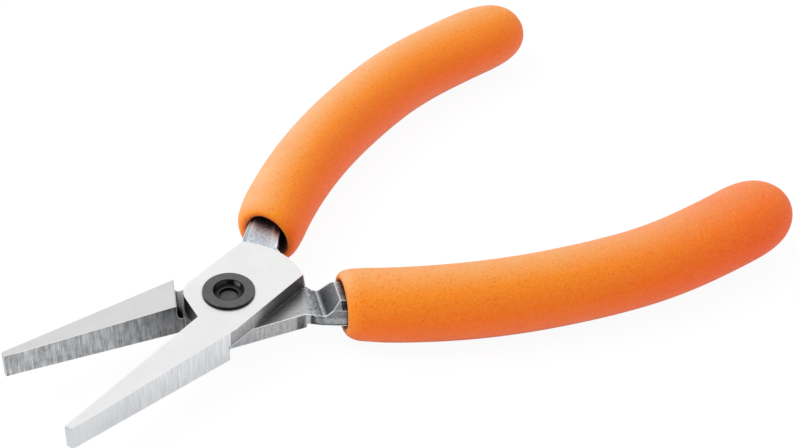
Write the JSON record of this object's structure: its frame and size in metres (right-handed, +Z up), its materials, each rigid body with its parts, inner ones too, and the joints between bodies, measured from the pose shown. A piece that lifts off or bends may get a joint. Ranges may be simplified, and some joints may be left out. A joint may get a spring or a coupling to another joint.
{
  "type": "flat nose pliers",
  "caption": "Lap-joint flat nose pliers for jewellery making, with smooth tapering flat jaws, a dark flanged pivot and bowed soft sleeve grips, set down part open.",
  "frame": {"origin": "on the pivot axis, in the lap plane between the two halves", "axes": "+Z up along the pivot towards the flanged sleeve, jaws to -X, handles to +X, X halves the opening angle at rest"},
  "size_m": [0.1233, 0.0804, 0.012],
  "materials": {
    "polished_steel": "fine ground and polished tool steel",
    "black_steel": "black phosphated steel, satin",
    "orange_grip": "matte soft-touch sleeve"
  },
  "bodies": {
    "upper": {"upper_half": "polished_steel", "upper_grip": "orange_grip", "pivot_sleeve": "black_steel", "pivot_screw": "black_steel"},
    "lower": {"lower_half": "polished_steel", "lower_grip": "orange_grip"}
  },
  "joints": [
    {"name": "jaw_pivot", "type": "hinge", "parent": "upper", "child": "lower", "pos_m": [0, 0, 0], "axis": [0, 0, 1], "range_deg": [-16.4, 28.6]}
  ]
}
